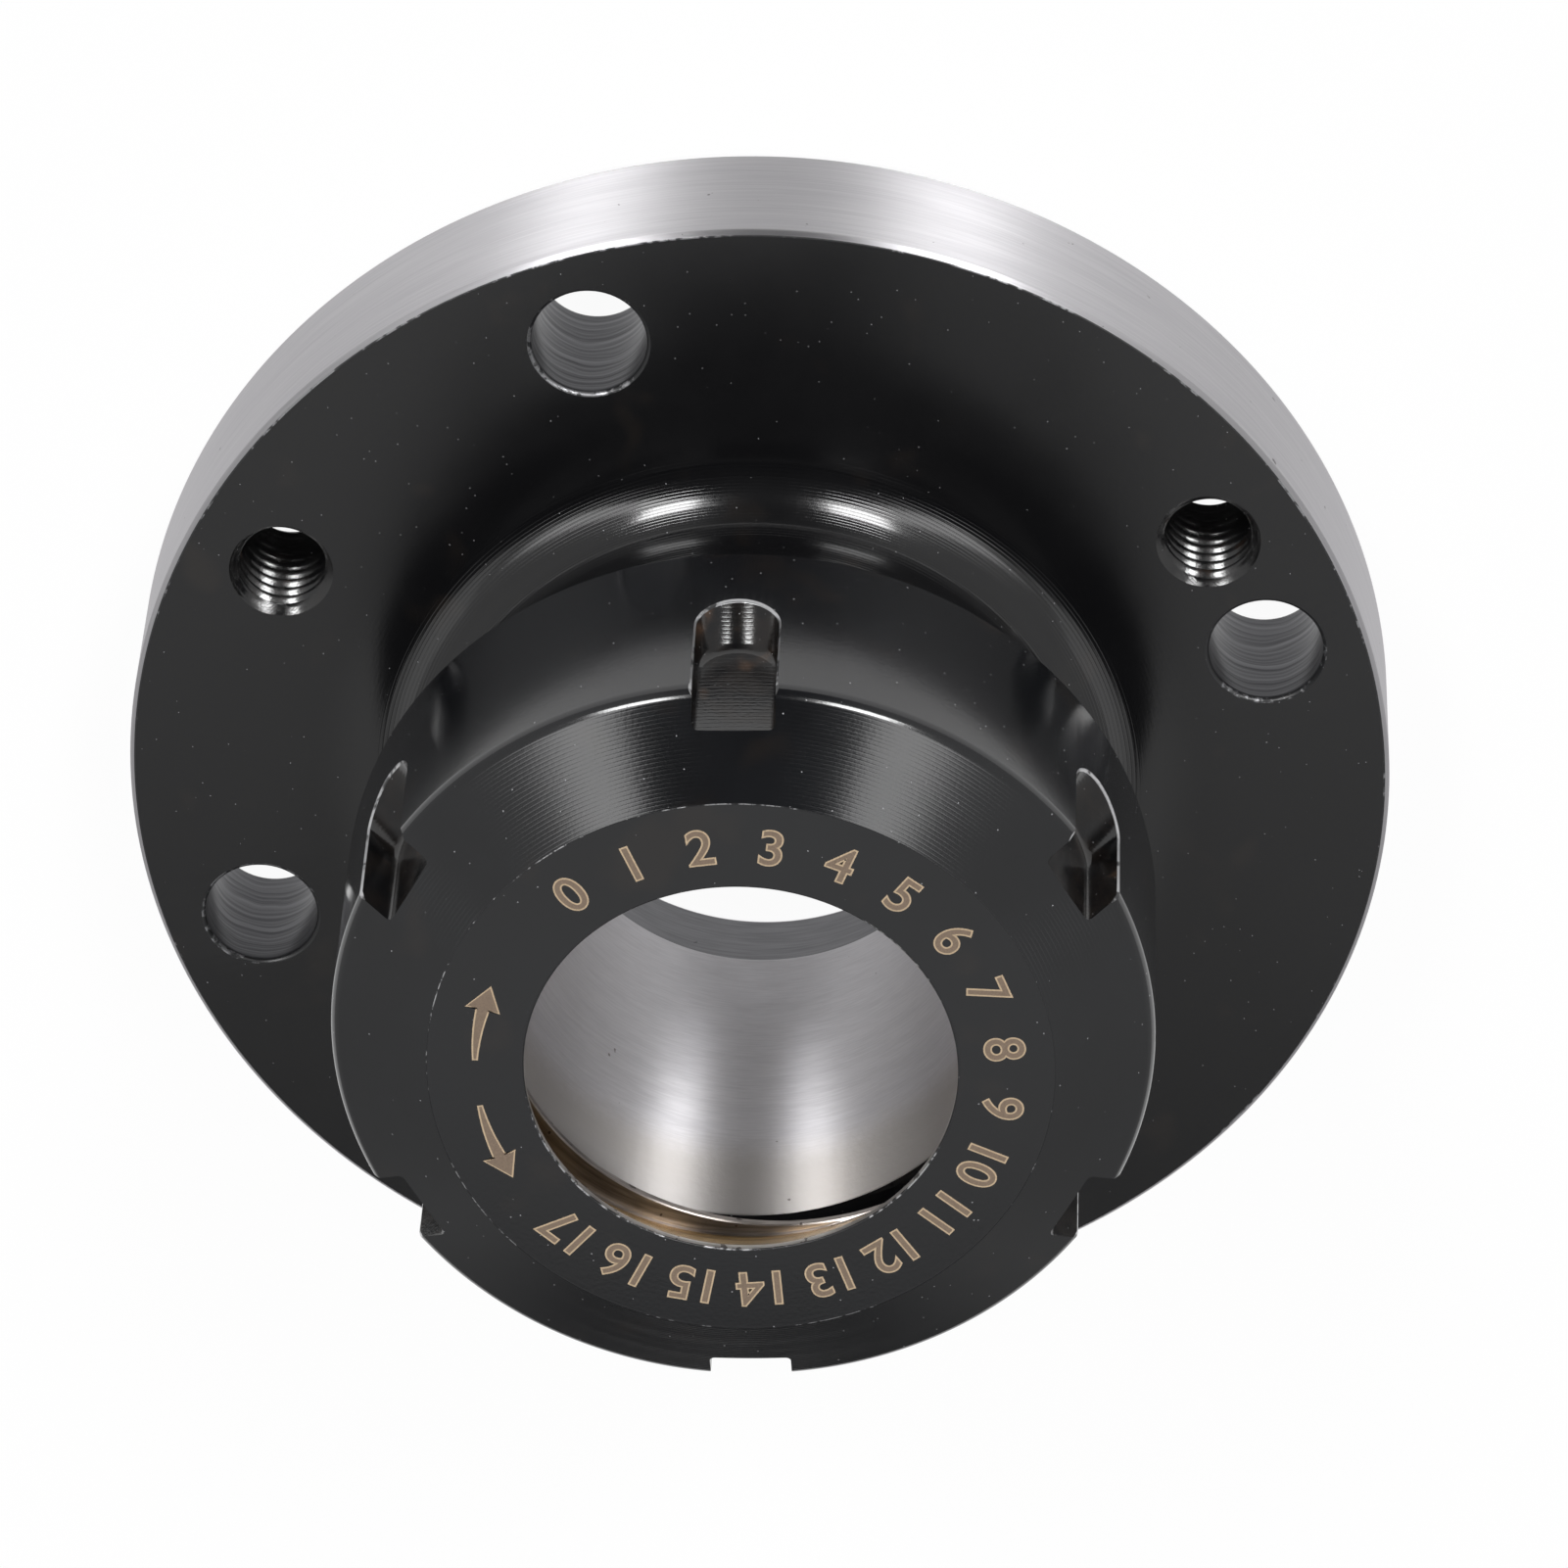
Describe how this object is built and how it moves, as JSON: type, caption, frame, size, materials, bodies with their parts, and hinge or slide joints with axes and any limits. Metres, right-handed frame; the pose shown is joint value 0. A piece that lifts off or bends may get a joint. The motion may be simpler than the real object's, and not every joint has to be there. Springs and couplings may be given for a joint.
{
  "type": "lathe collet chuck",
  "caption": "Flanged collet chuck for a lathe spindle: a ground taper bore in a black oxide body, with a slotted clamping nut screwed on its nose.",
  "frame": {"origin": "centre of the flange's back face, on the chuck's axis", "axes": "+Z along the chuck's axis, from the back face towards the clamping nut; +Y through one of the tapped holes"},
  "size_m": [0.1, 0.1, 0.0536],
  "materials": {
    "body_steel": "black oxide, ground bright on the rim, the taper and the back",
    "nut_steel": "black oxide, satin, with a straw tint on the collet cone inside"
  },
  "bodies": {
    "chuck": {"chuck_body": "body_steel"},
    "nut": {"clamping_nut": "nut_steel"}
  },
  "joints": [
    {"name": "nut_turn", "type": "hinge", "parent": "chuck", "child": "nut", "pos_m": [0, 0, 0.0414], "axis": [0, 0, 1], "range_deg": [-270, 2850]}
  ]
}
